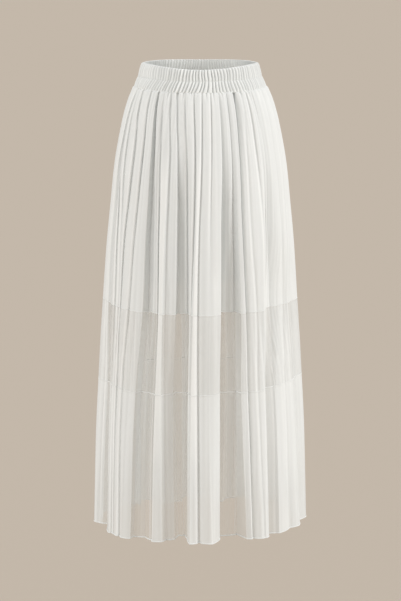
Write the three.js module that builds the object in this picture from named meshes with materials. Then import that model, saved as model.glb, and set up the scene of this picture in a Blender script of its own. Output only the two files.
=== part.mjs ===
// A pleated maxi skirt of thin chiffon, filled out as if worn and held at the waist.
// Millimetres, +Z up, front towards -Y. The origin is the centre of the waist opening.
import * as THREE from "three";

// Driving sizes
const CLOTH = 1.3; // the pleated cloth's wall
const SEAM_GAP = 0.3; // between two pieces that are sewn together
const BAND_DEPTH = 49; // waistband, from its top edge at the sides to its lower seam
const CHANNEL_SEAM = 26.5; // the seam that parts the band's two elastic channels
const BAND_VALLEY = 1.2; // the band's outside between two ridges lies this far inside the form
const BAND_WALL = 2.6;
const TOP_DIP = 4.5; // the band's top edge hangs this much lower at the front and back
const WAIST_POINT = 0.5; // how much the waist oval is pointed at both sides, where it lies flat; 0 by the lower seam
const UPPER_END = 484; // depth of the seam between upper tier and sheer insert
const SHEER_END = 648; // depth of the seam between sheer insert and lower tier
const HEM = 956; // depth of the hem
const SEAM_TILT = 5; // the lower seam and the hem rise by this at +X and fall by it at -X
const HEM_ROLL = { height: 4, out: 0.5, wall: 2.1 };
const BACK_FOLDS = 0.85; // the back's folds are the front's turned half round, this much as deep
const SEWN = { share: 0.3, height: 34 }; // at the band the folds are this much as deep, and open by this depth below it

// Gathers in the waistband: ridges in each channel, for one half of the band
const GATHERS = 40;
const GATHER_RISE = 1.5;
const CHANNEL_PUFF = 0.8;
const LOWER_LEAN = 3.2; // degrees that the lower channel's ridges slip to -X by their foot

// The form: half width and half depth of the skirt's envelope at each depth below the waist
const FORM = {
  depth: [0, 26, 49, 77, 118, 200, 282, 365, 484, 560, 648, 755, 956],
  halfWidth: [118, 125, 134.6, 146.5, 158, 173.5, 182.3, 190.4, 198.3, 203.5, 208.5, 214.3, 220],
  halfDepth: [88, 95, 104, 115, 127, 146, 158, 169, 179, 178, 176, 178, 181],
};

// The folds of the front, from -X to +X. Each row is one line that runs down the skirt: turn is
// its place round the form, in degrees from the front centre, and inset is how far it lies inside
// the form. The six columns are the depths in FOLD_DEPTHS: band, hip, thigh, both seams and hem.
const FOLD_DEPTHS = [49, 170, 330, UPPER_END, SHEER_END, HEM];
const FOLDS = [
  { line: "left flank crease", turn: [-82, -79, -80, -80.5, -82, -86], inset: [1, 3, 5, 6, 8, 5] },
  { line: "left fold edge", turn: [-70, -71, -74.4, -75, -77, -83], inset: [0, 1, 3, 8, 16, 15] },
  { line: "left recess", turn: [-68.6, -69.4, -72, -73, -75, -81], inset: [3, 5, 8, 16, 24, 33] },
  { line: "left panel start", turn: [-66.9, -67.6, -64.1, -64, -67, -60], inset: [0, 1, 4, 10, 17, 3] },
  { line: "first crease", turn: [-64.4, -64, -59.4, -58.2, -62.5, -58], inset: [3, 4, 6, 6, 17, 6] },
  { line: "second crease", turn: [-57.4, -53.8, -53.8, -54.2, -58.5, -55.5], inset: [4, 6, 6, 7, 18, 4] },
  { line: "third crease", turn: [-47.6, -43.9, -45.5, -46.7, -52.5, -51], inset: [4, 5, 5, 4, 17, 4] },
  { line: "left panel face", turn: [-43, -40.5, -40.5, -41.3, -45, -47], inset: [0, 0, 0, 1, 4, 0] },
  { line: "left panel edge", turn: [-37.8, -35.2, -35, -36, -40, -43.5], inset: [0, 0, 1, 2, 3, 11] },
  { line: "second recess start", turn: [-37, -34.6, -34.2, -35, -38.5, -43.5], inset: [8, 14, 19, 12, 13, 20] },
  { line: "second recess end", turn: [-35.6, -33, -31, -32, -36, -40], inset: [7, 12, 16, 7, 13, 24] },
  { line: "second recess lip", turn: [-34.4, -31.6, -28.8, -28.5, -33.5, -36.5], inset: [0, 1, 2, 3, 13, 24] },
  { line: "strip tuck", turn: [-32, -28.6, -27, -26, -28, -31], inset: [4, 6, 6, 4, 6, 17] },
  { line: "strip start", turn: [-30.8, -27.4, -25.8, -24.5, -25.8, -29.2], inset: [0, 0, 0, -2, 0, 10] },
  { line: "strip end", turn: [-25, -22, -22, -21.6, -23.4, -24.8], inset: [0, 0, 0, -2, 3, 21] },
  { line: "strip drop", turn: [-24, -21, -21.2, -20.7, -22.4, -23.8], inset: [4, 7, 8, 5, 9, 28] },
  { line: "middle left edge", turn: [-18.8, -15.6, -14.8, -15, -17, -16.8], inset: [0, 0, 1, 7, 18, 31] },
  { line: "third recess start", turn: [-18, -14.9, -14.2, -14.6, -16.8, -17.2], inset: [5, 10, 18, 20, 32, 60] },
  { line: "third recess end", turn: [-13.8, -9.6, -8.2, -8.2, -9.2, -12.6], inset: [4, 8, 14, 19, 28, 60] },
  { line: "third recess lip", turn: [-12.6, -8.4, -7.1, -7.2, -8, -9.5], inset: [0, 1, 3, 9, 18, 44] },
  { line: "centre tuck", turn: [-6.6, -4, -4, -4.9, -6, -6.6], inset: [4, 5, 5, 4, 4, 6] },
  { line: "centre start", turn: [-5.2, -2.6, -2.8, -3.7, -5, -5.7], inset: [0, 0, 0, 0, 0, 0] },
  { line: "centre crease", turn: [1.3, 1, -0.6, -1.4, -1.5, -0.9], inset: [5, 5, 4, 3, 4, 7] },
  { line: "centre fold", turn: [8.4, 7.6, 6, 5.3, 4.6, 6.1], inset: [2, 2, 1, 0, 0, -3] },
  { line: "centre edge", turn: [14.4, 14, 13, 12.8, 11.5, 12.2], inset: [0, 0, 3, 12, 10, 28] },
  { line: "fourth recess start", turn: [15.3, 15, 14, 13.8, 12.8, 14], inset: [5, 9, 19, 29, 24, 52] },
  { line: "fourth recess ridge", turn: [22, 20.2, 19.2, 21, 20, 23.5], inset: [2, 4, 9, 19, 15, 49] },
  { line: "fourth recess end", turn: [23.4, 21.6, 20.9, 22.8, 21.6, 26.5], inset: [5, 9, 16, 24, 18, 48] },
  { line: "right panel start", turn: [24.9, 23, 22.6, 24.8, 23.2, 27], inset: [0, 0, 1, 9, 1, 9] },
  { line: "right panel crease", turn: [31.4, 28.6, 27.6, 29.6, 27.6, 30.2], inset: [8, 7, 5, 11, 2, 7] },
  { line: "right panel face", turn: [36, 33.4, 33, 36.5, 33, 36], inset: [0, 0, 0, 8, -3, -3] },
  { line: "right panel edge", turn: [41, 41.1, 42, 43.5, 39.5, 38.5], inset: [0, 0, 3, 9, 1, 2] },
  { line: "fifth recess start", turn: [42.2, 42.3, 43.8, 47, 43, 46], inset: [7, 11, 16, 21, 15, 28] },
  { line: "fifth recess end", turn: [47.5, 48, 51, 57, 52, 53], inset: [6, 10, 16, 29, 28, 41] },
  { line: "fifth recess lip", turn: [51.5, 51.6, 56.5, 63, 56, 55.5], inset: [0, 2, 8, 23, 16, 18] },
  { line: "right crease", turn: [64, 62, 64, 68, 61, 62], inset: [4, 5, 8, 19, 15, 18] },
  { line: "right fold edge", turn: [74, 72, 71, 73, 72, 69], inset: [0, 1, 5, 12, 11, 2] },
  { line: "right flank recess", turn: [77, 76, 76, 78, 79, 81], inset: [5, 6, 8, 14, 15, 16] },
];
const WIDE_PANEL = 8; // degrees past which a panel gets one more line along its middle

// Depths of the rings in each piece, between its own two seams
const UPPER_RINGS = [0, 0.03, 0.09, 0.18, 0.29, 0.42, 0.56, 0.7, 0.85, 1];
const SHEER_RINGS = [0, 0.33, 0.67, 1];
const LOWER_RINGS = [0, 0.25, 0.5, 0.75];

const DEGREE = Math.PI / 180;

// A smooth value at one depth, through the values given at the listed depths
function smooth(depths, values, depth) {
  const last = depths.length - 1;
  let i = 0;
  while (i < last - 1 && depth > depths[i + 1]) i += 1;
  const slope = (k) => {
    const before = Math.max(k - 1, 0);
    const after = Math.min(k + 1, last);
    return (values[after] - values[before]) / (depths[after] - depths[before]);
  };
  const span = depths[i + 1] - depths[i];
  const t = Math.min(Math.max((depth - depths[i]) / span, 0), 1);
  return (
    (1 + 2 * t) * (1 - t) ** 2 * values[i] +
    t * (1 - t) ** 2 * span * slope(i) +
    t * t * (3 - 2 * t) * values[i + 1] +
    t * t * (t - 1) * span * slope(i + 1)
  );
}

// The point of the form at one depth and turn, moved inwards by inset
function onForm(depth, turn, inset) {
  const a = smooth(FORM.depth, FORM.halfWidth, depth);
  const b = smooth(FORM.depth, FORM.halfDepth, depth);
  const x = a * Math.sin(turn * DEGREE);
  const power = 1 + WAIST_POINT * Math.max(0, 1 - depth / BAND_DEPTH);
  const y = -b * Math.max(0, Math.cos(turn * DEGREE)) ** power;
  const kept = 1 - inset / Math.hypot(x, y);
  return [x * kept, y * kept];
}

// Height of a point: the top edge dips at the front and back, and the lower seams tilt
function heightAt(depth, x, turn) {
  const a = smooth(FORM.depth, FORM.halfWidth, depth);
  const dip = TOP_DIP * Math.cos(turn * DEGREE) ** 4 * Math.max(0, 1 - depth / CHANNEL_SEAM);
  const tilt = SEAM_TILT * Math.min(Math.max((depth - UPPER_END) / (SHEER_END - UPPER_END), 0), 1);
  return -depth - dip + (tilt * x) / a;
}

// Turn and inset of each line of one half at one depth, with the side seams at both ends
function foldLines(depth, half) {
  const open = Math.min((depth - BAND_DEPTH) / SEWN.height, 1);
  const deep = (half.turned ? BACK_FOLDS : 1) * (SEWN.share + (1 - SEWN.share) * open);
  const lines = FOLDS.map((fold) => ({
    turn: smooth(FOLD_DEPTHS, fold.turn, depth),
    inset: smooth(FOLD_DEPTHS, fold.inset, depth) * deep,
    wide: false,
  }));
  lines.unshift({ turn: -90, inset: 0 });
  lines.push({ turn: 90, inset: 0 });
  return lines;
}

// True for each panel that is wide at some depth, so that every ring has the same lines
const WIDE = foldLines(HEM, {}).slice(1).map((_, i) =>
  FOLD_DEPTHS.some((depth) => {
    const lines = foldLines(depth, {});
    return lines[i + 1].turn - lines[i].turn > WIDE_PANEL;
  }),
);

function withMiddles(lines) {
  const all = [lines[0]];
  lines.slice(1).forEach((line, i) => {
    const before = lines[i];
    if (WIDE[i]) all.push({ turn: (before.turn + line.turn) / 2, inset: (before.inset + line.inset) / 2 });
    all.push(line);
  });
  return all;
}

// Plan points of one half's ring. The back is the front's lines turned half round.
function foldRing(depth, half) {
  const sign = half.turned ? -1 : 1;
  return withMiddles(foldLines(depth, half)).map(({ turn, inset }) => {
    const [x, y] = onForm(depth, turn, inset);
    return { x: sign * x, y: sign * y, turn };
  });
}

// The same ring moved inwards by the wall, square to its own outline, with sharp corners held back.
// The two end points stay in the side seam's plane. A wall below zero moves the ring outwards.
function innerRing(ring, wall) {
  return ring.map((point, i) => {
    if (i === 0 || i === ring.length - 1) return { ...point, x: point.x - Math.sign(point.x) * wall };
    const normals = [[ring[i - 1], point], [point, ring[i + 1]]].map(([from, to]) => {
      const length = Math.hypot(to.x - from.x, to.y - from.y);
      return [-(to.y - from.y) / length, (to.x - from.x) / length];
    });
    const nx = normals[0][0] + normals[1][0];
    const ny = normals[0][1] + normals[1][1];
    const square = Math.max((nx * nx + ny * ny) / 2, 0.6);
    return { ...point, x: point.x + (wall * nx) / square, y: point.y + (wall * ny) / square };
  });
}

// Moves a point off the side seam's plane, by half of the gap, so that two halves never touch
function offSeam(point, half) {
  const side = half.turned ? 1 : -1;
  const y = side * Math.max(side * point.y, SEAM_GAP / 2);
  return { ...point, y };
}

// Rows of 3-D points, outer and inner, from rings of plan points
function place(ring, depth, half) {
  return ring.map((point) => {
    const p = offSeam(point, half);
    return new THREE.Vector3(p.x, p.y, heightAt(depth, p.x, p.turn));
  });
}

// A closed wall from rows of outer and inner points. Rows run from the top down, and points in a
// row from one side seam to the other. The inside may have fewer rows than the outside.
function closedWall(outer, inner) {
  const positions = [];
  const faces = [];
  const index = (rows) => rows.map((row) => row.map((p) => positions.push(p.x, p.y, p.z) / 3 - 1));
  const o = index(outer);
  const n = index(inner);
  // Both faces of the wall are split along the same diagonal, so that it keeps its thickness
  const quad = (a, b, c, d) => faces.push(a, b, c, a, c, d);
  const sheet = (rows, flip) => {
    for (let r = 0; r + 1 < rows.length; r += 1) {
      for (let c = 0; c + 1 < rows[r].length; c += 1) {
        const [a, b] = [rows[r][c], rows[r + 1][c]];
        const [d, e] = [rows[r + 1][c + 1], rows[r][c + 1]];
        if (flip) quad(a, e, d, b);
        else quad(a, b, d, e);
      }
    }
  };
  sheet(o, false);
  sheet(n, true);
  const last = o[0].length - 1;
  for (let c = 0; c < last; c += 1) {
    quad(o[0][c], o[0][c + 1], n[0][c + 1], n[0][c]);
    quad(o.at(-1)[c + 1], o.at(-1)[c], n.at(-1)[c], n.at(-1)[c + 1]);
  }
  // The two ends: a strip between the outer and the inner column, whichever is higher going next
  for (const end of [0, last]) {
    let r = 0;
    let s = 0;
    while (r < o.length - 1 || s < n.length - 1) {
      const outerNext = s === n.length - 1 ||
        (r < o.length - 1 && positions[3 * o[r + 1][end] + 2] >= positions[3 * n[s + 1][end] + 2]);
      const tri = outerNext
        ? [o[r][end], n[s][end], o[r + 1][end]]
        : [o[r][end], n[s][end], n[s + 1][end]];
      if (outerNext) r += 1;
      else s += 1;
      if (end === last) tri.reverse();
      faces.push(...tri);
    }
  }
  const geometry = new THREE.BufferGeometry();
  geometry.setAttribute("position", new THREE.Float32BufferAttribute(positions, 3));
  geometry.setIndex(faces);
  geometry.computeVertexNormals();
  return geometry;
}

// One half of one tier between two depths, with its rings at the given shares of the way down
function tier(from, to, shares, half, roll) {
  const depths = shares.map((share) => from + (to - from) * share);
  const outer = [];
  const inner = [];
  const add = (depth, out, wall) => {
    const ring = foldRing(depth, half);
    outer.push(place(out ? innerRing(ring, -out) : ring, depth, half));
    inner.push(place(innerRing(ring, wall), depth, half));
  };
  depths.forEach((depth) => add(depth, 0, CLOTH));
  if (roll) {
    add(to - roll.height - 0.6, 0, CLOTH);
    add(to - roll.height, roll.out, roll.wall - roll.out);
    add(to, roll.out, roll.wall - roll.out);
  }
  return closedWall(outer, inner);
}

// Rows of the band, top to seam: depth, how far the channel puffs out, and how high its ridges stand
const BAND_ROWS = [
  { depth: 0, puff: 0, rise: 0.5 },
  { depth: 3, puff: 0.6, rise: 0.9 },
  { depth: 14, puff: 1, rise: 1 },
  { depth: 23, puff: 0.6, rise: 0.8 },
  { depth: CHANNEL_SEAM, puff: 0, rise: 0.15 },
  { depth: 30, puff: 0.6, rise: 0.8 },
  { depth: 38, puff: 1, rise: 1 },
  { depth: 45.5, puff: 0.6, rise: 0.8 },
  { depth: BAND_DEPTH, puff: 0, rise: 0.3 },
];

// One half of the waistband: ridges stand up from its outer points over a plain inside
function waistband(half) {
  const sign = half.turned ? -1 : 1;
  const steps = 2 * GATHERS;
  const row = (depth, inset, rise, slip) =>
    place(
      Array.from({ length: steps + 1 }, (_, i) => {
        const free = Math.sin((Math.PI * i) / steps); // the slip fades out at both side seams
        const turn = -90 + (180 * i) / steps - slip * free;
        const ridge = i % 2 ? rise : 0;
        const [x, y] = onForm(depth, turn, inset - ridge);
        return { x: sign * x, y: sign * y, turn };
      }),
      depth,
      half,
    );
  const outer = BAND_ROWS.map(({ depth, puff, rise }) => {
    const slip = LOWER_LEAN * Math.max(0, (depth - CHANNEL_SEAM) / (BAND_DEPTH - CHANNEL_SEAM));
    return row(depth, BAND_VALLEY - CHANNEL_PUFF * puff, GATHER_RISE * rise, slip);
  });
  const plain = [0, CHANNEL_SEAM, BAND_DEPTH].map((depth) => row(depth, BAND_VALLEY + BAND_WALL, 0, 0));
  return closedWall(outer, plain);
}

const chiffon = new THREE.MeshStandardMaterial({ color: 0xe9e9e5, roughness: 0.85, metalness: 0 });
const sheerCloth = new THREE.MeshStandardMaterial({ color: 0xd6d2c8, roughness: 0.85, metalness: 0 });
const bandCloth = new THREE.MeshStandardMaterial({ color: 0xe3e2dd, roughness: 0.9, metalness: 0 });

const skirt = new THREE.Group();
const g = SEAM_GAP / 2;
for (const half of [{ name: "front", turned: false }, { name: "back", turned: true }]) {
  const pieces = {
    waistband: [waistband(half), bandCloth],
    upper: [tier(BAND_DEPTH + SEAM_GAP, UPPER_END - g, UPPER_RINGS, half), chiffon],
    sheer: [tier(UPPER_END + g, SHEER_END - g, SHEER_RINGS, half), sheerCloth],
    lower: [tier(SHEER_END + g, HEM, LOWER_RINGS, half, HEM_ROLL), chiffon],
  };
  for (const [name, [geometry, material]] of Object.entries(pieces)) {
    const mesh = new THREE.Mesh(geometry, material);
    mesh.name = `${name}_${half.name}`;
    skirt.add(mesh);
  }
}

export default skirt;
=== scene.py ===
# %% [markdown]
# # A pleated maxi skirt of thin chiffon
#
# The skirt hangs as if somebody wore it, with an open waist and an open hem. From the top it is
# a gathered elastic waistband, a nearly opaque pleated tier, a band of see-through chiffon and a
# second pleated tier that ends in a narrow rolled hem. Every tier has a front and a back.
#
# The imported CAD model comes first. It fixes all sizes, and each piece made below stands where
# its CAD piece stands and replaces it.

# %% Open the fixed frame
import bpy
import numpy as np
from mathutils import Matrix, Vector


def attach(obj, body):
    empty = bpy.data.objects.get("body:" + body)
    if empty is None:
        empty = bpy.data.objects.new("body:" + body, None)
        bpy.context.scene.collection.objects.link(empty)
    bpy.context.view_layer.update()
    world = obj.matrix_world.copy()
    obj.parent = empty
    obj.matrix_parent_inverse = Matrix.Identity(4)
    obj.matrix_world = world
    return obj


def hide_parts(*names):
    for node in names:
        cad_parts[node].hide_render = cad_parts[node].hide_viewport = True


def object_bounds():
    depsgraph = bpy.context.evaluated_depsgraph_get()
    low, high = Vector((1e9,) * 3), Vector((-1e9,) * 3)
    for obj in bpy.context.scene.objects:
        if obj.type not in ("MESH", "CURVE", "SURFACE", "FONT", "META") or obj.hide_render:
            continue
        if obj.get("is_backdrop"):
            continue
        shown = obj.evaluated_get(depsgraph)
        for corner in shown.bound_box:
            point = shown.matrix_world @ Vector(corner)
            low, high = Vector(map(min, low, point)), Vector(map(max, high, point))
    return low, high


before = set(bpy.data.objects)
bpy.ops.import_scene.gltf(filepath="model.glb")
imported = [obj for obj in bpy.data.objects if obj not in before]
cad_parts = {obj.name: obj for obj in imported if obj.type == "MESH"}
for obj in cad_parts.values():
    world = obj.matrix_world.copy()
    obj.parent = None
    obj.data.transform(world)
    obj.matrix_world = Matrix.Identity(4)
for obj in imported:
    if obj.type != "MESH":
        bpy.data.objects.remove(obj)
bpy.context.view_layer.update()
scene = bpy.context.scene
print("CAD nodes:", sorted(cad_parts))

# %% [markdown]
# ## The camera
#
# The photograph was taken from straight in front, from a few metres away and a little above the
# waist: the near edge of the waist opening shows lower than the far edge, and both seams sag
# towards the middle of the picture. A long lens far away gives that calm perspective. The camera
# stands 5.5 m in front of the waist and looks down at the middle of the skirt.

# %% Place the camera
camera = bpy.data.objects.new("photo_camera", bpy.data.cameras.new("photo_camera"))
camera.location = (0, -5.5, 0.69)
aim = Vector((0, 0, -0.49))
camera.rotation_euler = (aim - camera.location).to_track_quat("-Z", "Y").to_euler()
camera.data.sensor_width = 36
camera.data.lens = 164.4
camera.data.dof.use_dof = False
scene.collection.objects.link(camera)
scene.camera = camera
print("camera reach in m:", round((aim - camera.location).length, 3))

# %% [markdown]
# ## The form of the skirt
#
# Before any pleat, the skirt is a soft cone: an oval at each depth below the waist, which widens
# fast over the hips and slowly after them. Two short rows of half widths and half depths
# describe it, and a smooth curve joins the listed depths. A cubic curve is used because straight
# lines between the rows would show as rings in the cloth. At the waist the oval comes to a point
# at both sides, since a waistband worn by nobody lies flat there. All shape functions work in
# millimetres, and the mesh helper turns them into metres.

# %% The form as functions of depth and turn
BAND_DEPTH, CHANNEL_SEAM, TOP_DIP = 49, 26.5, 4.5
UPPER_END, SHEER_END, HEM, SEAM_TILT = 484, 648, 956, 5
WAIST_POINT = 0.5
FORM_DEPTH = [0, 26, 49, 77, 118, 200, 282, 365, 484, 560, 648, 755, 956]
HALF_WIDTH = [118, 125, 134.6, 146.5, 158, 173.5, 182.3, 190.4, 198.3, 203.5, 208.5, 214.3, 220]
HALF_DEPTH = [88, 95, 104, 115, 127, 146, 158, 169, 179, 178, 176, 178, 181]


def smooth(depths, values, depth):
    """Cubic through the listed values: each piece leaves a listed depth with the slope of the
    line between its two neighbours."""
    depths, values = np.asarray(depths, float), np.asarray(values, float)
    depth = np.asarray(depth, float)
    k = np.arange(len(depths))
    before, after = np.maximum(k - 1, 0), np.minimum(k + 1, k[-1])
    wide = (len(depths),) + (1,) * (values.ndim - 1)
    slope = (values[after] - values[before]) / (depths[after] - depths[before]).reshape(wide)
    i = np.searchsorted(depths[1:-1], depth)
    span = depths[i + 1] - depths[i]
    t = np.clip((depth - depths[i]) / span, 0, 1)
    span, t = (v.reshape(v.shape + (1,) * (values.ndim - 1)) for v in (span, t))
    return ((1 + 2 * t) * (1 - t) ** 2 * values[i] + t * (1 - t) ** 2 * span * slope[i]
            + t * t * (3 - 2 * t) * values[i + 1] + t * t * (t - 1) * span * slope[i + 1])


def on_form(depth, turn, inset):
    """The oval's point at a turn from the front centre, moved towards the axis by the inset. Near
    the top edge a power of the cosine points the oval at both sides, where the waist lies flat."""
    x = smooth(FORM_DEPTH, HALF_WIDTH, depth) * np.sin(np.radians(turn))
    power = 1 + WAIST_POINT * np.clip(1 - depth / BAND_DEPTH, 0, 1)
    y = -smooth(FORM_DEPTH, HALF_DEPTH, depth) * np.cos(np.radians(turn)) ** power
    kept = 1 - inset / np.hypot(x, y)
    return x * kept, y * kept


def height_at(depth, x, turn):
    """Minus the depth, less a dip of the top edge at front and back, plus the tilt of the lower seam
    and the hem, which rise towards +X."""
    dip = TOP_DIP * np.cos(np.radians(turn)) ** 4 * np.maximum(0, 1 - depth / CHANNEL_SEAM)
    tilt = SEAM_TILT * np.clip((depth - UPPER_END) / (SHEER_END - UPPER_END), 0, 1)
    return -depth - dip + tilt * x / smooth(FORM_DEPTH, HALF_WIDTH, depth)


def fuller(x, depth):
    """The left flank hangs 1 to 2 mm further out than the right one at the band and at the hem: x
    less that amount times the square of how far a point lies past the middle of the left half."""
    share = np.clip(-2 * x / smooth(FORM_DEPTH, HALF_WIDTH, depth) - 1, 0, 1)
    return x - smooth([0, 30, 60, 300, 500, 956], [2, 2, 0.3, 0.3, 1.8, 1.8], depth) * share * share


print("oval at the hem in mm:", float(smooth(FORM_DEPTH, HALF_WIDTH, HEM)))

# %% [markdown]
# ## The pleats
#
# Knife pleats are flat strips of cloth that turn at sharp lines. So the folds are kept as lines
# that run from the band to the hem, and the cloth between two lines is a panel. For each line
# the table gives its turn round the form and its inset at six depths, as read from the
# photograph, and the cover of the panel that follows it. Cover says how many layers of cloth
# lie there: at 1 a pleat's face lies over its own under-layers and hides what is behind it, and at
# 0 the floor of a recess is a single layer that one can look through. A cover a little above 1
# is a painted highlight that lightens the brightest faces.
#
# Where one pleat ends over the next one, a narrow dark gap runs down the cloth. A second table
# gives its depth in millimetres at the same six depths, for the lines that have one.

# %% The fold lines of the front, from the left side seam to the right one
FOLD_DEPTHS = [49, 170, 330, 484, 648, 956]
FOLDS = [
    # line, turn in degrees at each depth, inset in mm at each depth, cover of the next panel (above 1 a
    # painted highlight)
    ("left side seam", (-90, -90, -90, -90, -90, -90), (0, 0, 0, 0, 0, 0), 0.95),
    ("left flank crease", (-82, -79, -80, -80.5, -82, -86), (2, 4, 6, 8, 10, 7), 0.85),
    ("left fold edge", (-69, -71, -74.4, -75, -77, -83), (0, 0, 2, 5, 14, 15), 0.4),
    ("left recess", (-67.8, -69.8, -73, -73, -75, -81), (4, 6, 8, 10, 19, 33), 0.35),
    ("left panel start", (-66.9, -68.2, -64.1, -62.6, -67, -60), (0, 1, 3, 5, 13, 3), 0.9),
    ("first crease", (-63.6, -62.4, -59.2, -58.2, -62.5, -58), (1, 2, 3, 5, 12, 6), 0.95),
    ("second crease", (-57.4, -51.5, -53.7, -55, -58.5, -55.5), (1, 1, 1, 3, 11, 4), 0.95),
    ("third crease", (-46.1, -42.7, -44.5, -46.5, -52.5, -50), (1, 1, 1, 2, 10, 4), 0.9),
    ("left panel face", (-42.4, -39.6, -40.5, -41.3, -45, -47), (0, 0, 0, 1, 4, 0), 0.95),
    ("left panel edge", (-38.4, -35.6, -35.9, -36.1, -39.2, -41.8), (0, 0, 1, 1, 1, 5), 0.5),
    ("second recess start", (-38.8, -35.9, -36.4, -35.6, -38, -43.5), (6, 12, 17, 18, 15, 20), 0.2),
    ("second recess end", (-37.9, -33.9, -33.1, -32.4, -35.4, -40), (5, 8, 15, 16, 15, 24), 0.25),
    ("second recess lip", (-36.8, -32, -28.9, -28.2, -33, -36.5), (0, 0, 4, 8, 16, 28), 0.05),
    ("strip tuck", (-31.7, -28.2, -26.8, -26, -27.2, -29.5), (1, 2, 4, 5, 6, 15), 0.35),
    ("strip start", (-30.7, -27.1, -25.7, -24.7, -25.6, -27.8), (0, 0, 0, -2, -1, 6), 1.3),
    ("strip end", (-26.2, -22.2, -22.4, -22.4, -22.4, -22), (0, 0, 0, -2, 0, 10), 0.7),
    ("strip drop", (-25.4, -21.4, -21.6, -21.6, -21.6, -21.2), (3, 4, 6, 6, 9, 24), 0.6),
    ("middle left edge", (-20.4, -16.2, -15.1, -15.2, -17, -16.8), (0, 1, 4, 8, 18, 31), 0.2),
    ("third recess start", (-19.6, -16, -15.6, -15.6, -17.2, -17.4), (3, 7, 22, 24, 33, 60), 0.0),
    ("third recess end", (-12.9, -9.5, -8.8, -8.5, -9.2, -12.6), (2, 5, 19, 26, 30, 60), 0.15),
    ("third recess lip", (-11.9, -8.4, -7.4, -7.3, -8, -9.5), (0, 1, 5, 13, 20, 44), 0.8),
    ("centre tuck", (-5.4, -3.5, -4.2, -5.5, -6.4, -6.6), (2, 3, 4, 4, 4, 6), 0.95),
    ("centre start", (-4.2, -2.2, -2.9, -4.2, -5.2, -5.7), (0, 0, 0, 0, 0, 0), 1.3),
    ("centre crease", (1.3, 1, -0.8, -1.5, -1.5, -0.9), (2, 3, 3, 3, 4, 7), 0.9),
    ("centre fold", (8.4, 7.6, 6, 5.3, 4.6, 6.1), (0, 0, 0, 0, 0, -3), 1.0),
    ("centre edge", (14.4, 14, 13, 12.8, 11.5, 12.2), (0, 0, 3, 12, 10, 28), 0.4),
    ("fourth recess start", (15.3, 15.2, 14.4, 14, 12.8, 14), (2, 6, 23, 38, 27, 52), 0.0),
    ("fourth recess ridge", (20.8, 20.4, 19.2, 20.4, 20, 23.5), (0, 1, 14, 34, 20, 49), 0.0),
    ("fourth recess end", (22.2, 22.2, 22.6, 24.5, 22.4, 26.5), (2, 4, 17, 32, 21, 48), 0.4),
    ("right panel start", (23.4, 24, 24.4, 25.7, 23.6, 27), (0, 1, 3, 9, 3, 11), 0.95),
    ("right slip edge", (28.2, 27.1, 26.6, 28.3, 26.8, 29.4), (0, 0, 1, 8, 1, 6), 0.9),
    ("right panel crease", (29.3, 28.1, 27.4, 29.3, 27.6, 30.2), (9, 7, 6, 12, 3, 8), 0.95),
    ("right panel face", (36.5, 33.4, 33, 36.5, 33, 36), (0, 0, 0, 8, -3, -3), 1.0),
    ("right panel edge", (41.2, 41.1, 43.2, 43.5, 39.3, 40), (0, 0, 1, 8, 1, 2), 0.85),
    ("fifth recess start", (46, 47, 48.2, 48, 41.3, 41.4), (1, 1, 12, 27, 20, 30), 0.65),
    ("fifth recess end", (48.4, 50.2, 51.4, 56, 49, 47.8), (3, 3, 16, 30, 13, 12), 0.9),
    ("fifth recess lip", (52, 53, 56.8, 60.5, 50.6, 49.2), (0, 1, 6, 22, 10, 6), 1.0),
    ("right crease", (64, 62, 64, 68, 61, 62), (1, 2, 6, 19, 12, 12), 1.0),
    ("right fold edge", (74, 72, 71, 73, 72, 69), (0, 0, 3, 12, 11, 2), 0.8),
    ("right flank recess", (77, 76, 76, 78, 79, 81), (2, 3, 6, 14, 15, 16), 0.85),
    ("right side seam", (90, 90, 90, 90, 90, 90), (0, 0, 0, 0, 0, 0), 0.85),
]
LINE_TURN = np.array([row[1] for row in FOLDS], float).T
LINE_INSET = np.array([row[2] for row in FOLDS], float).T
COVER = np.array([row[3] for row in FOLDS])
HALVES = {"front": 1, "back": -1}
GAPS = {
    # line: depth of its gap in mm at each of the six depths
    "left flank crease": (1, 2, 2, 2, 2, 2), "left fold edge": (6, 6, 5, 5, 3, 2),
    "left panel start": (0, 4, 8, 7, 5, 3), "first crease": (0, 7, 3, 2, 2, 4),
    "second crease": (6, 9, 8, 6, 5, 5), "third crease": (6, 8, 7, 6, 5, 5),
    "second recess start": (4, 2, 0, 0, 0, 0), "strip tuck": (1.5, 3, 6, 5, 4, 4),
    "strip drop": (1.5, 1.5, 0, 0, 1, 2), "third recess start": (2, 1, 0, 0, 0, 0),
    "third recess end": (2, 3, 4, 3, 2, 2), "centre tuck": (4, 4, 5, 4, 4, 3),
    "centre crease": (4, 4.5, 5, 5, 5, 6), "centre fold": (5, 5, 1, 0, 0, 0),
    "fourth recess start": (2, 2, 0, 0, 0, 0), "fourth recess end": (2, 1.5, 3, 3, 2, 2),
    "right panel crease": (16, 6, 4, 5, 4, 4), "right panel face": (0, 2, 2, 2, 2, 2),
    "right panel edge": (4, 4, 2, 1, 1, 1),
    "fifth recess start": (0, 0, 5, 9, 4, 2), "right crease": (0, 0, 0, 1, 1, 1),
}
GAP_ROWS = np.array([GAPS.get(row[0], (0,) * 6) for row in FOLDS], float).T
GAP_SIDES = 0.4, 0.75  # degrees: a gap is steep under the edge on its left and opens to its right
BACK_FOLDS = 0.85  # the back's folds are the front's turned half round, this much as deep


def fold_lines(depth, half):
    """Turn, inset and gap of all lines at each depth. At the band the folds are sewn nearly flat,
    and over the first 24 mm they open to their full inset."""
    opened = np.clip((depth - BAND_DEPTH) / 24, 0, 1)
    deep = (1 if half == "front" else BACK_FOLDS) * opened[:, None]
    return (smooth(FOLD_DEPTHS, values, depth) * share for values, share in
            ((LINE_TURN, 1), (LINE_INSET, 0.4 + 0.6 * deep), (GAP_ROWS, 0.6 + 0.4 * deep)))


print("fold lines in one half:", len(FOLDS))

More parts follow.
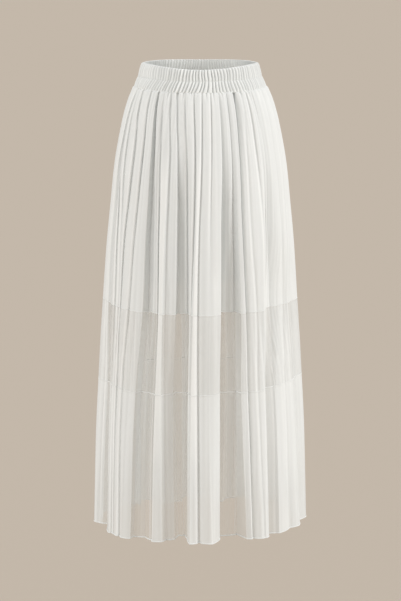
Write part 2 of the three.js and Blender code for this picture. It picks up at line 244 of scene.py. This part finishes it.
# %% [markdown]
# A sharp fold needs many mesh columns close to it and a flat panel needs few, so the columns
# crowd towards both ends of each panel. Between two lines turn and inset run straight, and two
# passes of averaging with the neighbours take the knife edge off, as the cloth's own thickness
# does. A gap on the front is cut straight back, along the line of sight, and not towards the
# axis: on the flanks one looks along the cloth, and a cut towards the axis would stay hidden.
#
# Real pleats aren't perfect: fine creases run down the panels, some start at the band and fade
# after a hand's breadth, and short nicks open where the gathering stitches let go. Each is a
# narrow groove with its own place, width and length. They are drawn from one seeded row of
# random numbers, so every run gives the same skirt.

# %% Columns across the panels, and the small creases
def panel_columns():
    """Place of each column in line numbers: 14 to a panel, spaced by a mix of even steps and
    half a cosine."""
    step = np.arange(14) / 14
    crowded = 0.35 * step + 0.65 * (1 - np.cos(np.pi * step)) / 2
    return np.append((np.arange(len(FOLDS) - 1)[:, None] + crowded).ravel(), len(FOLDS) - 1)


COLUMNS = panel_columns()
PANEL = np.minimum(COLUMNS.astype(int), len(FOLDS) - 2)
SHARE = COLUMNS - PANEL

# Short gathers under the band that the photograph shows: turn, depth of the groove, length
NICKS = [(-62, 1.6, 18), (-49, 1.8, 26), (-27.9, 2.6, 24), (-19.9, 2.2, 20), (-14.3, 2.4, 26),
         (-9.6, 1.8, 12), (-7.4, 2.2, 16), (-2.4, 1.4, 12), (4.9, 2.6, 22), (10.9, 2.6, 30),
         (18.2, 1.8, 16), (29.4, 2.2, 24), (36.4, 1.8, 18), (45, 1.8, 30), (58, 1.6, 28)]
CREASES = 70  # fine creases in one half


def grooves(turn, depth, half):
    """Sum of narrow bell-shaped grooves, each faded in and out along its own stretch of depth."""
    draw = np.random.default_rng(11 if half == "front" else 29)
    total = np.zeros(turn.shape)
    for at, deep, long in NICKS:
        fade = np.clip(1 - (depth - BAND_DEPTH) / long, 0, 1) ** 1.5
        total += 1.7 * deep * fade * np.exp(-(((turn - at) / 0.8) ** 2))
    for _ in range(CREASES):
        at, lean = draw.uniform(-86, 86), draw.uniform(-2.5, 2.5)
        top, long = draw.choice([49, draw.uniform(49, 700)]), draw.uniform(60, 330)
        deep, wide = draw.uniform(0.25, 0.85), draw.uniform(0.35, 0.8)
        along = np.clip((depth - top) / long, 0, 1)
        centre = at * (1 - 0.06 * depth / HEM) + lean * along
        total += deep * np.sin(np.pi * along ** 0.6) * np.exp(-(((turn - centre) / wide) ** 2))
    return total


def ripples(turn, depth, half):
    """Sum of slow waves round the form whose phase drifts with depth, strongest in the sheer band."""
    draw = np.random.default_rng(5 if half == "front" else 17)
    total = np.zeros(turn.shape)
    for _ in range(9):
        length, phase, drift = draw.uniform(2.2, 7.5), draw.uniform(0, 6.28), draw.uniform(-2.2, 2.2)
        total += np.sin(6.283 * turn / length + phase + drift * np.sin(depth / draw.uniform(90, 260)))
    strength = 0.09 + 0.06 * np.exp(-(((depth - 575) / 110) ** 2))
    return total * strength * (1 if half == "front" else 0.6)


print("columns in one half:", len(COLUMNS))

# %% The pleated cloth as a function of depth and column
def outline_normal(x, y):
    """Unit normal in plan: the direction from each column to the next, turned by a right angle."""
    tx, ty = np.gradient(x, axis=-1), np.gradient(y, axis=-1)
    length = np.maximum(np.hypot(tx, ty), 1e-9)
    return ty / length, -tx / length


def rounded(values, passes=2):
    """Averages each column with its two neighbours, weights 1 2 1, and keeps both end columns."""
    for _ in range(passes):
        middle = (values[:, :-2] + 2 * values[:, 1:-1] + values[:, 2:]) / 4
        values = np.concatenate([values[:, :1], middle, values[:, -1:]], axis=1)
    return values


TUCK = 3.2  # at its top the cloth goes in behind the band's lower edge


def pleated(depth, half, proud=0.0):
    """Grid of points in mm, the plan normals and the lips. Turn and inset run straight from line to
    line, a bell-shaped gap with a slope to its right lies at each line, each panel bows out by a
    parabola, the form gives the point, and ripples and creases move it along the outline's normal.
    The lip is a painted highlight on the last 3 mm of a fold before its gap."""
    turns, insets, gaps = fold_lines(depth, half)
    turn = turns[:, PANEL] * (1 - SHARE) + turns[:, PANEL + 1] * SHARE
    inset = insets[:, PANEL] * (1 - SHARE) + insets[:, PANEL + 1] * SHARE
    slots, lip_highlights = np.zeros(turn.shape), np.zeros(turn.shape)
    for line in range(1, len(FOLDS) - 1):
        near = np.abs(COLUMNS - line) < 1
        at = turns[:, line, None]
        away = (turn[:, near] - at) * np.maximum(np.cos(np.radians(at)), 0.4)
        slot = np.exp(-((away / np.where(away < 0, *GAP_SIDES)) ** 2))
        slope = (away > 0) * np.exp(-away / 2.5) * (1 - SHARE[near])
        slots[:, near] += gaps[:, line, None] * (0.78 * slot + 0.22 * np.maximum(slot, slope))
        # painted highlight: a bright lip just before each gap, weaker near the band and the hem
        lip_highlights[:, near] += np.clip(gaps[:, line, None] / 5, 0, 1) * np.exp(-(((away + 0.85) / 0.5) ** 2))
    lip_highlights *= smooth([49, 120, 220, 700, 900], [0.3, 0.4, 1, 1, 0.5], depth)[:, None]
    wide = turns[:, PANEL + 1] - turns[:, PANEL]
    inset -= np.clip(0.3 * wide, 0, 1.8) * 4 * SHARE * (1 - SHARE)
    inset += TUCK * np.clip((BAND_DEPTH + 1.5 - depth[:, None]) / 4, 0, 1)
    down = np.broadcast_to(depth[:, None], turn.shape)
    straight = np.clip((84 - np.abs(turn)) / 16, 0, 1)
    x, y = on_form(down, turn, inset + (1 - straight) * slots)
    x, y = rounded(x), rounded(y + straight * slots)
    nx, ny = outline_normal(x, y)
    free = np.clip((90 - np.abs(turn)) / 4, 0, 1)
    out = proud + free * (ripples(turn, down, half) - grooves(turn, down, half))
    x, y = x + nx * out, y + ny * out
    y = np.minimum(y, 0)
    sign = HALVES[half]
    z = height_at(down, sign * x, turn)
    points = np.stack([fuller(sign * x, down), sign * y, z], axis=-1)
    return points, np.stack([sign * nx, sign * ny, 0 * nx], axis=-1), lip_highlights


sample, _, _ = pleated(np.array([300.0]), "front")
print("cloth round one half at 300 mm, in mm:",
      round(float(np.linalg.norm(np.diff(sample[0], axis=0), axis=1).sum())))

# %% [markdown]
# ## From grids to meshes
#
# Two small helpers turn a grid of points into a Blender mesh. Four neighbours make one face, and
# their order makes it look outwards. The UV map is the flat cloth in metres, across and down,
# so that a weave drawn on it has its real size and follows each pleat. Values that change over
# the cloth, such as its cover, are stored on the points for the material to read.

# %% Mesh helpers
def surface(name, points, uv=None, marks=None, ring=False):
    """Faces between neighbours of a grid in mm. With ring, the last column joins the first, and the
    first and last row are closed with a cap."""
    rows, cols = points.shape[:2]
    index = np.arange(rows * cols).reshape(rows, cols)
    wrapped = np.hstack([index, index[:, :1]]) if ring else index
    quads = np.stack([wrapped[:-1, :-1], wrapped[1:, :-1], wrapped[1:, 1:], wrapped[:-1, 1:]], axis=-1)
    faces = quads.reshape(-1, 4).tolist()
    if ring:
        faces += [index[0].tolist(), index[-1, ::-1].tolist()]
    mesh = bpy.data.meshes.new(name)
    mesh.from_pydata((points.reshape(-1, 3) / 1000).tolist(), [], faces)
    corner = np.zeros(len(mesh.loops), np.int32)
    mesh.loops.foreach_get("vertex_index", corner)
    if uv is not None:
        layer = mesh.uv_layers.new(name="flat_cloth")
        layer.data.foreach_set("uv", (uv.reshape(-1, 2)[corner] / 1000).ravel())
    for mark, values in (marks or {}).items():
        layer = mesh.attributes.new(mark, "FLOAT", "POINT")
        layer.data.foreach_set("value", values.ravel().astype(float))
    mesh.shade_smooth()
    piece = bpy.data.objects.new(name, mesh)
    scene.collection.objects.link(piece)
    return piece


def tube(name, path, out, profile, cover=1.0):
    """A closed profile, given as steps outwards and upwards in mm, carried along a path."""
    up = np.array([0.0, 0.0, 1.0])
    points = path[:, None] + profile[None, :, :1] * out[:, None] + profile[None, :, 1:] * up
    run = np.concatenate([[0], np.cumsum(np.linalg.norm(np.diff(path, axis=0), axis=1))])
    around = np.linspace(0, 6, len(profile))
    uv = np.stack(np.broadcast_arrays(run[:, None], around[None, :]), axis=-1)
    flat = np.ones(points.shape[:2])
    return surface(name, points, uv, {"cover": cover * flat, "edge": 0.4 * flat}, ring=True)


def oval(out, up, corners=8):
    """Points of an oval with the given half sizes, from its outer side upwards."""
    a = np.arange(corners) * 2 * np.pi / corners
    return np.stack([out * np.cos(a), up * np.sin(a)], axis=-1)


# %% [markdown]
# ## Chiffon
#
# Chiffon is a plain weave of fine twisted yarn with small gaps between the threads, so it is
# matt, soft and partly see-through. Real gaps are far too many to model. The material does three
# things instead: a weave with the real pitch gives a faint bump, the alpha follows the cover of
# each panel, and slow streaks vary the density as in real yarn. At a fold edge the cloth bends
# back over itself and one looks through more threads, so the edge value makes it denser there.
# The edge value and a cover above one also mix a lighter tone into the plain one: a painted
# highlight on fold edges and the brightest faces, and painted shade where the edge value is low.
#
# Thin threads also pass some light on. The rays that carry light and shadow therefore meet a
# slightly thinner cloth than the eye does, which keeps the inside of the skirt from going dark.
#
# The weave and the streaks are one node group, used by every cloth with its own values.

# %% The shared weave group
def socket(group, name, kind, way, value=None):
    """A named input or output of a node group, with its value at the start."""
    made = group.interface.new_socket(name=name, in_out=way, socket_type=kind)
    if value is not None:
        made.default_value = value


def math_node(tree, operation, first, second=None, third=None, clamp=False):
    """A Math node on numbers or sockets."""
    node = tree.nodes.new("ShaderNodeMath")
    node.operation, node.use_clamp = operation, clamp
    for slot, value in enumerate((first, second, third)):
        if value is None:
            continue
        if isinstance(value, (int, float)):
            node.inputs[slot].default_value = value
        else:
            tree.links.new(value, node.inputs[slot])
    return node.outputs[0]


def weave_group():
    """Height of crossed threads, sine across plus sine down, and streaks from a stretched noise."""
    group = bpy.data.node_groups.new("woven_cloth", "ShaderNodeTree")
    socket(group, "Cloth", "NodeSocketVector", "INPUT")
    socket(group, "Threads", "NodeSocketFloat", "INPUT", 1800.0)
    socket(group, "Height", "NodeSocketFloat", "OUTPUT")
    socket(group, "Streaks", "NodeSocketFloat", "OUTPUT")
    socket(group, "Cloud", "NodeSocketFloat", "OUTPUT")
    take, give = group.nodes.new("NodeGroupInput"), group.nodes.new("NodeGroupOutput")
    split = group.nodes.new("ShaderNodeSeparateXYZ")
    group.links.new(take.outputs["Cloth"], split.inputs[0])
    waves = []
    for axis in (0, 1):
        turns = math_node(group, "MULTIPLY", split.outputs[axis], take.outputs["Threads"])
        waves.append(math_node(group, "SINE", math_node(group, "MULTIPLY", turns, 6.2832)))
    crossed = math_node(group, "ADD", waves[0], waves[1])
    group.links.new(math_node(group, "MULTIPLY_ADD", crossed, 0.25, 0.5), give.inputs["Height"])
    for name, size, scale in (("Streaks", (1, 0.008, 1), 420), ("Cloud", (1, 0.35, 1), 22)):
        place = group.nodes.new("ShaderNodeMapping")
        place.inputs["Scale"].default_value = size
        noise = group.nodes.new("ShaderNodeTexNoise")
        noise.inputs["Scale"].default_value = scale
        noise.inputs["Detail"].default_value = 2
        group.links.new(take.outputs["Cloth"], place.inputs["Vector"])
        group.links.new(place.outputs[0], noise.inputs["Vector"])
        group.links.new(noise.outputs["Fac"], give.inputs[name])
    return group


WEAVE = weave_group()
GLOW = 0.15  # share of the light on a cloth's threads that it lets through, spread out


def cloth(name, light, shade, see=None, threads=1800.0, roughness=0.85, sheen=0.1):
    """A cloth material. Tone runs from shade to light by a quarter of a slow cloud plus 0.85 of the
    edge plus 2.5 times the cover above one: the edge is painted highlight where high and painted
    shade where low, and the cover above one is painted highlight. Alpha is see[0] at cover 0 and
    see[1] at cover 1, plus 0.3 of the edge and the streaks; without see the cloth is opaque."""
    made = bpy.data.materials.new(name)
    made.use_nodes = True
    tree = made.node_tree
    shader = tree.nodes["Principled BSDF"]
    shader.inputs["Roughness"].default_value = roughness
    shader.inputs["Specular IOR Level"].default_value = 0.2
    shader.inputs["Sheen Weight"].default_value = sheen
    flat = tree.nodes.new("ShaderNodeUVMap")
    flat.uv_map = "flat_cloth"
    weave = tree.nodes.new("ShaderNodeGroup")
    weave.node_tree = WEAVE
    weave.inputs["Threads"].default_value = threads
    tree.links.new(flat.outputs[0], weave.inputs["Cloth"])
    marks = {}
    for mark in ("cover", "edge"):
        node = tree.nodes.new("ShaderNodeAttribute")
        node.attribute_name = mark
        marks[mark] = node.outputs["Fac"]
    tone = tree.nodes.new("ShaderNodeMix")
    tone.data_type = "RGBA"
    tone.inputs["A"].default_value = (*shade, 1)
    tone.inputs["B"].default_value = (*light, 1)
    # painted light: the edge mark and the cover above one lift the tone from shade to light
    lit = math_node(tree, "MULTIPLY", weave.outputs["Cloud"], 0.25)
    lit = math_node(tree, "MULTIPLY_ADD", marks["edge"], 0.85, lit)
    painted_highlight = math_node(tree, "MAXIMUM", math_node(tree, "SUBTRACT", marks["cover"], 1.0), 0.0)
    lit = math_node(tree, "MULTIPLY_ADD", painted_highlight, 2.5, lit, clamp=True)
    tree.links.new(lit, tone.inputs["Factor"])
    tree.links.new(tone.outputs["Result"], shader.inputs["Base Color"])
    grain = math_node(tree, "MULTIPLY_ADD", weave.outputs["Streaks"], 1.2, weave.outputs["Height"])
    bump = tree.nodes.new("ShaderNodeBump")
    bump.inputs["Strength"].default_value = 0.25
    bump.inputs["Distance"].default_value = 0.0001
    tree.links.new(grain, bump.inputs["Height"])
    tree.links.new(bump.outputs[0], shader.inputs["Normal"])
    if see:
        base = math_node(tree, "MULTIPLY_ADD", marks["cover"], see[1] - see[0], see[0])
        dense = math_node(tree, "MULTIPLY_ADD", marks["edge"], 0.3, base)
        streaky = math_node(tree, "MULTIPLY_ADD", weave.outputs["Streaks"], 0.08, -0.04)
        seen = math_node(tree, "ADD", dense, streaky, clamp=True)
        ray = tree.nodes.new("ShaderNodeLightPath")
        spread = math_node(tree, "MAXIMUM", ray.outputs["Is Shadow Ray"], ray.outputs["Is Diffuse Ray"])
        passed = math_node(tree, "MULTIPLY_ADD", spread, -GLOW, 1.0)
        tree.links.new(math_node(tree, "MULTIPLY", seen, passed), shader.inputs["Alpha"])
    return made


# each cloth's tone is mixed between its shade and light colours by the marks: painted highlight and
# painted shade
LIGHT, SHADE = (0.92, 0.935, 0.928), (0.775, 0.795, 0.792)
CLOTHS = {
    "upper": cloth("upper_chiffon", LIGHT, SHADE, see=(0.75, 1.0)),
    "sheer": cloth("sheer_chiffon", LIGHT, SHADE, see=(0.05, 0.8)),
    "lower": cloth("lower_chiffon", LIGHT, SHADE, see=(0.16, 1.0)),
    "band": cloth("waistband_cloth", (0.95, 0.965, 0.958), (0.66, 0.68, 0.675), roughness=0.9),
    "seam": cloth("seam_cloth", LIGHT, SHADE, see=(0.15, 1.0)),
    "thread": cloth("sewing_thread", (0.9, 0.91, 0.9), (0.85, 0.86, 0.85), threads=4000.0, roughness=0.7),
}
print("cloths:", [m.name for m in CLOTHS.values()])

# %% [markdown]
# ## The three tiers
#
# Each tier is cut as straight strips, pleated and sewn to the next, so in one half a tier is one
# sheet. A single open sheet suits chiffon better than a shell with a thickness: every extra
# layer would hide more of what lies behind, and the real cloth is a fifth of a millimetre thick.
# Front and back meet edge to edge at the side seams. The rows lie closest under the band, where
# the gathers open within two centimetres.

# %% Make the tiers
def edge_marks(points):
    """One at an outward fold and zero on a flat panel: how sharply the outline turns at a column,
    spread over its neighbours."""
    steps = np.diff(points[..., :2], axis=1)
    heading = np.unwrap(np.arctan2(steps[..., 1], steps[..., 0]), axis=1)
    bend = np.zeros(points.shape[:2])
    bend[:, 1:-1] = np.diff(heading, axis=1)
    return np.clip(rounded(np.clip(bend, 0, 0.6), 2) * 2.2, 0, 1)


# The back's cover at the top and at the foot of each tier, as a share of its full one. The two
# sheer values meet in how much they hide, so the back's lower seam doesn't show through the front.
BACK_COVER = {"upper": (1, 1), "sheer": (0.7, 0.82), "lower": (0.58, 0.7)}


def cover_marks(tier, depth, half):
    """The table's cover for each panel, blended over the columns next to a fold line. Under the
    band the gathers lie close, so the cover rises; at the hem they stand apart, so it falls. The
    back is more even, and thinner below the upper tier. Cover above one, a painted highlight, is
    kept from the hips to the middle of the lower tier."""
    cover, down = COVER[PANEL], depth[:, None]
    if half == "back":
        thinner = np.linspace(*BACK_COVER[tier], len(depth))[:, None]
        cover = (0.45 + 0.45 * np.minimum(cover, 1)) * thinner
    # painted highlight: the cover above one, faded in below the hips and out in the lower tier
    highlight_span = np.clip((down - 150) / 80, 0, 1) * np.clip((860 - down) / 200, 0, 1)
    painted_highlight = np.maximum(cover - 1, 0) * highlight_span
    cover = np.minimum(cover, 1)
    cover = cover + 0.8 * (1 - cover) * np.clip((260 - down) / 150, 0, 1)
    return rounded(painted_highlight + cover * (1 - 0.2 * np.clip((down - 760) / 120, 0, 1)), 2)


def flat_cloth(points, depth):
    """UV in mm: across is the mean length of cloth up to a column, down is the depth."""
    steps = np.linalg.norm(np.diff(points, axis=1), axis=2).mean(axis=0)
    across = np.concatenate([[0], np.cumsum(steps)])
    return np.stack(np.broadcast_arrays(across[None, :], depth[:, None]), axis=-1)


TIERS = {
    "upper": np.concatenate([np.arange(BAND_DEPTH - 2.4, 93, 1.9), np.arange(93, UPPER_END, 4.9),
                             [UPPER_END]]),
    "sheer": np.linspace(UPPER_END, SHEER_END, 34),
    "lower": np.linspace(SHEER_END, HEM - 1.5, 66),
}
tiers = {}
for tier, depths in TIERS.items():
    for half in HALVES:
        points, _, lip_highlights = pleated(depths, half)
        # edge mark: the fold bends make the cloth denser, and with the lips they lighten its tone, a
        # painted highlight
        marks = {"cover": cover_marks(tier, depths, half),
                 "edge": np.clip(edge_marks(points) + lip_highlights, 0, 1)}
        sheet = surface(f"{tier}_pleats_{half}", points, flat_cloth(points, depths), marks)
        sheet.data.materials.append(CLOTHS[tier])
        tiers[tier, half] = sheet
        print(sheet.name, len(sheet.data.polygons), "faces")

# %% [markdown]
# ## Seams and hem
#
# Where two tiers are sewn together, the folded seam allowance is several layers thick, so a thin
# bright line shows across the skirt. It is a flat oval carried along the lower edge of the upper
# cloth, fold by fold. The hem is rolled and stitched, which makes a round, slightly heavier edge.
# The back's strips are thinner cloth, since they hardly show through the front.

# %% Seam strips and the rolled hem
trims = {}
for half in HALVES:
    for name, depth, profile, proud in (("seam_one", UPPER_END - 0.6, oval(0.4, 0.9), 0.15),
                                        ("seam_two", SHEER_END - 0.2, oval(0.4, 0.9), 0.15),
                                        ("hem_roll", HEM - 1.6, oval(0.95, 1.5), 0.0)):
        points, normals, _ = pleated(np.array([float(depth)]), half, proud)
        strip = tube(f"{name}_{half}", points[0], normals[0], profile, 1.0 if half == "front" else 0.05)
        strip.data.materials.append(CLOTHS["seam"])
        trims[name, half] = strip
        print(strip.name, len(strip.data.polygons), "faces")

# %% [markdown]
# ## The waistband
#
# The band is a tube of cloth over wide elastic. A row of stitching parts it into two channels,
# and the elastic gathers the cloth into upright ridges, broad on top with a narrow valley
# between. In the lower channel the ridges lean to the left on the wearer's right half, where the
# cloth slipped as it was sewn. The band is a closed profile carried round the waist: up the
# outside, over the top edge and down the inside, with the ridges as a second function of the
# place round the waist. The edge value is the height of a ridge, so the valleys take the darker
# tone, painted shade for the little light that enters them. Inside, the edge value is painted
# light: lighter on the ridges and in the middle, and painted shade towards both sides.

# %% The waistband
GATHERS = 60
TOP_ROUND = 1.3  # mm from the top edge down to where both faces of the band run straight


def gather_places(half):
    """Turn of each valley between two gathers, uneven by a third, and the height of each ridge."""
    draw = np.random.default_rng(3 if half == "front" else 8)
    steps = np.cumsum(np.append(0, draw.uniform(0.72, 1.28, GATHERS)))
    return -90 + 180 * steps / steps[-1], draw.uniform(0.65, 1.15, GATHERS + 1)


def ridge(turn, depth, half):
    """Broad ridges parted by narrow bell-shaped valleys, times each ridge's own height."""
    valleys, heights = gather_places(half)
    lean = 3.7 * np.clip((9 - turn) / 14, -0.25, 1) * np.clip((90 - np.abs(turn)) / 14, 0, 1)
    slip = lean * np.clip((depth - CHANNEL_SEAM) / (BAND_DEPTH - CHANNEL_SEAM), 0, 1)
    sway = 0.35 * np.sin(depth / 7 + turn / 9)
    place = turn + slip + sway * np.clip((88 - np.abs(turn)) / 6, 0, 1)
    count = np.interp(place, valleys, np.arange(GATHERS + 1))
    calm = 0.55 + 0.45 * np.clip((86 - np.abs(turn + 4)) / 30, 0, 1)
    apart = np.abs(count - np.round(count))
    height = calm * heights[np.minimum(count.astype(int), GATHERS)]
    return height * (1 - np.exp(-((apart / 0.23) ** 2)))


def channel(depth):
    """Zero at the band's edges and seam, one in the middle of a channel, along a half ellipse."""
    upper = np.clip(depth / CHANNEL_SEAM, 0, 1)
    lower = np.clip((depth - CHANNEL_SEAM) / (BAND_DEPTH - CHANNEL_SEAM), 0, 1)
    return sum(np.sqrt(np.maximum(4 * part * (1 - part), 0)) for part in (upper, lower))


def band_profile():
    """Depth, inset and ridge share of the closed profile: outside from the seam up to the top, over
    the rounded top edge, and down the inside."""
    up = np.concatenate([np.linspace(BAND_DEPTH, CHANNEL_SEAM, 17),
                         np.linspace(CHANNEL_SEAM, TOP_ROUND, 19)[1:]])
    over = np.radians(np.linspace(0, 180, 9)[1:-1])
    down = np.linspace(TOP_ROUND, BAND_DEPTH, 30)
    puff = channel(up)
    depth = np.concatenate([up, TOP_ROUND - TOP_ROUND * np.sin(over), down])
    inset = np.concatenate([3.2 - 0.3 * puff, 3.9 - 0.9 * np.cos(over), 4.9 - 0.3 * channel(down)])
    inside = -2.2 * (0.4 + 0.6 * channel(down))
    share = np.concatenate([4.6 * (0.4 + 0.6 * puff), 1.8 * np.cos(over), inside])
    inner = np.concatenate([0 * up, 0 * over, 0 * down + 1])
    return depth, inset, share, inner


bands = {}
for half in HALVES:
    depth, inset, share, inner = band_profile()
    turn = np.linspace(-90, 90, GATHERS * 12 + 1)[:, None]
    high = ridge(turn, depth[None, :], half)
    x, y = on_form(np.broadcast_to(depth, high.shape), turn, inset - share * high)
    x[[0, -1]], y[[0, -1]] = x[[0, -1]], 0
    z = height_at(depth[None, :], x, turn) + 0.25 * high * (depth < 1.4)
    sign = HALVES[half]
    points = np.stack([fuller(sign * x, np.broadcast_to(depth, high.shape)), sign * y, z], axis=-1)
    uv = np.stack(np.broadcast_arrays(turn * 4.2, np.arange(len(depth))[None, :] * 1.5), axis=-1)
    # painted light on the band: the inside is lighter on ridges and in the middle and painted shade
    # towards both sides; outside, the valleys get painted shade
    inside = (0.75 + 0.5 * high) * np.clip((60 - np.abs(turn + 4)) / 30, 0, 1)
    flat = {"cover": np.ones(high.shape), "edge": np.clip(np.where(inner > 0, inside, 0.95 * high), 0, 1)}
    band = surface(f"gathered_band_{half}", points, uv, flat, ring=True)
    band.data.materials.append(CLOTHS["band"])
    bands[half] = band
    print(band.name, len(band.data.polygons), "faces")

# %% [markdown]
# The stitching that parts the two channels is a row of short threads. Each lies on top of the
# gathers, bows out a little and dips into the cloth at both ends, so it's a bent tube of five
# rings with six corners each. All threads of a half are made at once from one table of turns.

# %% The row of stitches
THREAD_RADIUS = 0.26  # mm


def stitch_row(name, half, pitch=2.9):
    """Tubes along the channel seam: the inset of a ring is 1.7 less 0.7 times one minus t squared,
    with t from -1 to 1 along the thread, and the radius shrinks towards both ends."""
    across = smooth(FORM_DEPTH, HALF_WIDTH, CHANNEL_SEAM), smooth(FORM_DEPTH, HALF_DEPTH, CHANNEL_SEAM)
    place = np.radians(np.linspace(-90, 90, 1441))
    run = np.concatenate([[0], np.cumsum(np.hypot(np.diff(across[0] * np.sin(place)),
                                                  np.diff(across[1] * np.cos(place))))])
    middle = np.arange(pitch, run[-1] - pitch / 2, pitch)[:, None]
    t = np.linspace(-1, 1, 5)[None, :]
    turn = np.degrees(np.interp(middle + 0.36 * pitch * t, run, place))
    x, y = on_form(np.full(turn.shape, CHANNEL_SEAM), turn, 1.7 - 0.7 * (1 - t * t))
    z = height_at(np.full(turn.shape, CHANNEL_SEAM), x, turn)
    nx, ny = x / across[0] ** 2, y / across[1] ** 2
    a = np.arange(6) * np.pi / 3
    radius = (THREAD_RADIUS * (1 - 0.6 * t * t))[..., None]
    out = radius * np.cos(a) / np.hypot(nx, ny)[..., None]
    up = np.broadcast_to(radius * np.sin(a), out.shape)
    sign = HALVES[half]
    wide = fuller(sign * (x[..., None] + nx[..., None] * out), np.full(out.shape, CHANNEL_SEAM))
    points = np.stack([wide, sign * (y[..., None] + ny[..., None] * out), z[..., None] + up], axis=-1)
    ring = np.arange(30).reshape(5, 6)
    turned = np.roll(ring, -1, axis=1)
    quads = np.stack([ring[:-1], turned[:-1], turned[1:], ring[1:]], axis=-1).reshape(-1, 4)
    first = 30 * np.arange(len(middle))[:, None, None]
    faces = (first + quads[None, :, ::-1]).reshape(-1, 4).tolist()
    faces += (first[:, 0] + ring[0][None]).tolist() + (first[:, 0] + ring[-1, ::-1][None]).tolist()
    mesh = bpy.data.meshes.new(name)
    mesh.from_pydata((points.reshape(-1, 3) / 1000).tolist(), [], faces)
    mesh.uv_layers.new(name="flat_cloth")
    mesh.shade_smooth()
    row = bpy.data.objects.new(name, mesh)
    scene.collection.objects.link(row)
    row.data.materials.append(CLOTHS["thread"])
    print(name, len(middle), "stitches")
    return row


stitches = {half: stitch_row(f"band_stitches_{half}", half) for half in HALVES}

# %% [markdown]
# ## Light and floor
#
# The photograph has very soft light: nearly the same from all sides, with a little more from the
# right, so the right side of the skirt is the brightest and the recesses stay gentle. A pale
# sky gives the even part. Three wide suns, which are large soft sources, give the rest: a key
# light from the right, a fill from the left and a weak one from behind. The first two stand low
# and far to the side, so they graze the pleats and draw their folds. The floor is plain and
# pale, and lies well below the hem, as the skirt isn't standing on it.

# %% Floor, sky and suns
floor_mesh = bpy.data.meshes.new("studio_floor")
corners = [(-40, -40, -1.4), (40, -40, -1.4), (40, 40, -1.4), (-40, 40, -1.4)]
floor_mesh.from_pydata(corners, [], [(0, 1, 2, 3)])
floor = bpy.data.objects.new("studio_floor", floor_mesh)
scene.collection.objects.link(floor)
paint = bpy.data.materials.new("floor_paint")
paint.use_nodes = True
paint.node_tree.nodes["Principled BSDF"].inputs["Base Color"].default_value = (0.585, 0.515, 0.44, 1)
paint.node_tree.nodes["Principled BSDF"].inputs["Roughness"].default_value = 1
paint.node_tree.nodes["Principled BSDF"].inputs["Specular IOR Level"].default_value = 0
floor.data.materials.append(paint)
floor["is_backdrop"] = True

world = bpy.data.worlds.new("studio")
scene.world = world
world.use_nodes = True
sky = world.node_tree.nodes["Background"]
sky.inputs["Color"].default_value = (1, 0.985, 0.96, 1)
sky.inputs["Strength"].default_value = 0.757


def sun(name, azimuth, elevation, strength, spread):
    """A sun at an azimuth to the right of the front, shining on the skirt's middle."""
    a, e = np.radians(azimuth), np.radians(elevation)
    lamp = bpy.data.lights.new(name, "SUN")
    lamp.energy, lamp.angle = strength, np.radians(spread)
    holder = bpy.data.objects.new(name, lamp)
    towards = Vector((np.sin(a) * np.cos(e), -np.cos(a) * np.cos(e), np.sin(e)))
    holder.rotation_euler = towards.to_track_quat("Z", "Y").to_euler()
    holder.location = towards * 3
    scene.collection.objects.link(holder)


sun("right_key", 72, 8, 1.42, 26)
sun("left_fill", -62, 10, 0.98, 40)
sun("back_fill", 172, 25, 0.45, 50)
scene.view_settings.view_transform = "Standard"

# %% [markdown]
# ## Tell the frame what each piece is
#
# Nothing in a skirt turns on a joint, so every piece rides on the one body. The tiers and the band
# replace their CAD pieces.

# %% Hand the pieces to the frame
TRIMS = {"upper": [], "sheer": ["seam_one"], "lower": ["seam_two", "hem_roll"]}
for half in HALVES:
    for tier in TIERS:
        piece = tiers[tier, half]
        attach(piece, "root")
        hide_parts(f"{tier}_{half}")
        own = [trims[name, half] for name in TRIMS[tier]]
        for strip in own:
            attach(strip, "root")
    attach(bands[half], "root")
    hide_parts(f"waistband_{half}")
    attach(stitches[half], "root")

# %% Print the visual box and finish
low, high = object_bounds()
print("visual box in mm:", [round(1000 * v) for v in (*low, *high)])
